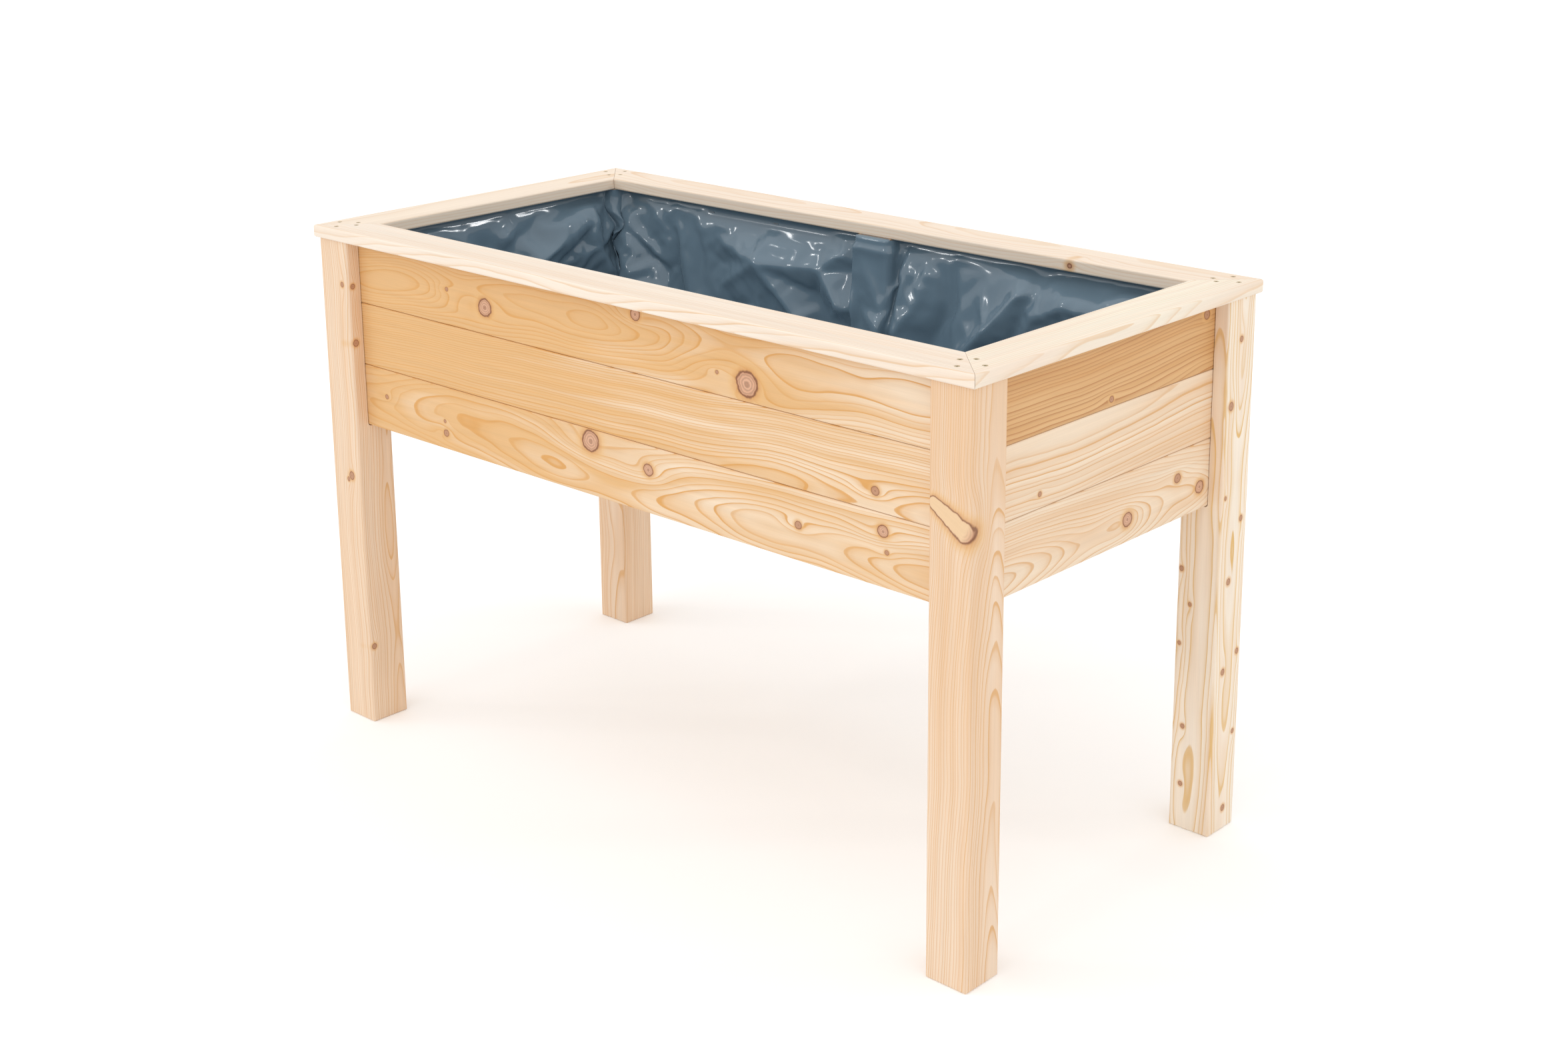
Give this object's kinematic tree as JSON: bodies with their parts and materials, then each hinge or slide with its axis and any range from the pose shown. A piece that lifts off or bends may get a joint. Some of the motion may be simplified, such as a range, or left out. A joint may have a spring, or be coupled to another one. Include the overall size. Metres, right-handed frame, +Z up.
{
  "type": "raised planter",
  "caption": "Rectangular raised planter on square legs, with walls of horizontal boards held in grooved posts, a flat mitred rim, a slatted floor and a dark film liner.",
  "frame": {"origin": "on the ground, under the middle of the planter", "axes": "+X along the long side, +Y from front to back, +Z up"},
  "size_m": [1.21, 0.594, 0.76],
  "materials": {
    "leg_wood": "planed, unfinished, knotty",
    "long_board_wood": "planed, unfinished, golden, knotty",
    "short_board_wood": "planed, unfinished",
    "rim_wood": "planed, unfinished, pale, rounded edges",
    "hidden_wood": "sawn, unfinished",
    "liner_film": "glossy crumpled film",
    "screw_steel": "yellow passivated",
    "staple_steel": "galvanised wire"
  },
  "bodies": {
    "root": {"leg_front_left": "leg_wood", "leg_front_right": "leg_wood", "leg_back_right": "leg_wood", "leg_back_left": "leg_wood", "board_front_bottom": "long_board_wood", "board_front_middle": "long_board_wood", "board_front_top": "long_board_wood", "board_right_bottom": "short_board_wood", "board_right_middle": "short_board_wood", "board_right_top": "short_board_wood", "board_back_bottom": "long_board_wood", "board_back_middle": "long_board_wood", "board_back_top": "long_board_wood", "board_left_bottom": "short_board_wood", "board_left_middle": "short_board_wood", "board_left_top": "short_board_wood", "rim_front": "rim_wood", "rim_right": "rim_wood", "rim_back": "rim_wood", "rim_left": "rim_wood", "batten_front": "hidden_wood", "batten_back": "hidden_wood", "ledger_front": "hidden_wood", "ledger_right": "hidden_wood", "ledger_back": "hidden_wood", "ledger_left": "hidden_wood", "slat_1": "hidden_wood", "slat_2": "hidden_wood", "slat_3": "hidden_wood", "slat_4": "hidden_wood", "slat_5": "hidden_wood", "slat_6": "hidden_wood", "slat_7": "hidden_wood", "slat_8": "hidden_wood", "slat_9": "hidden_wood", "slat_10": "hidden_wood", "liner": "liner_film", "rim_screws": "screw_steel", "batten_screws": "screw_steel", "ledger_screws": "screw_steel", "slat_screws": "screw_steel", "liner_staples": "staple_steel"}
  },
  "joints": []
}
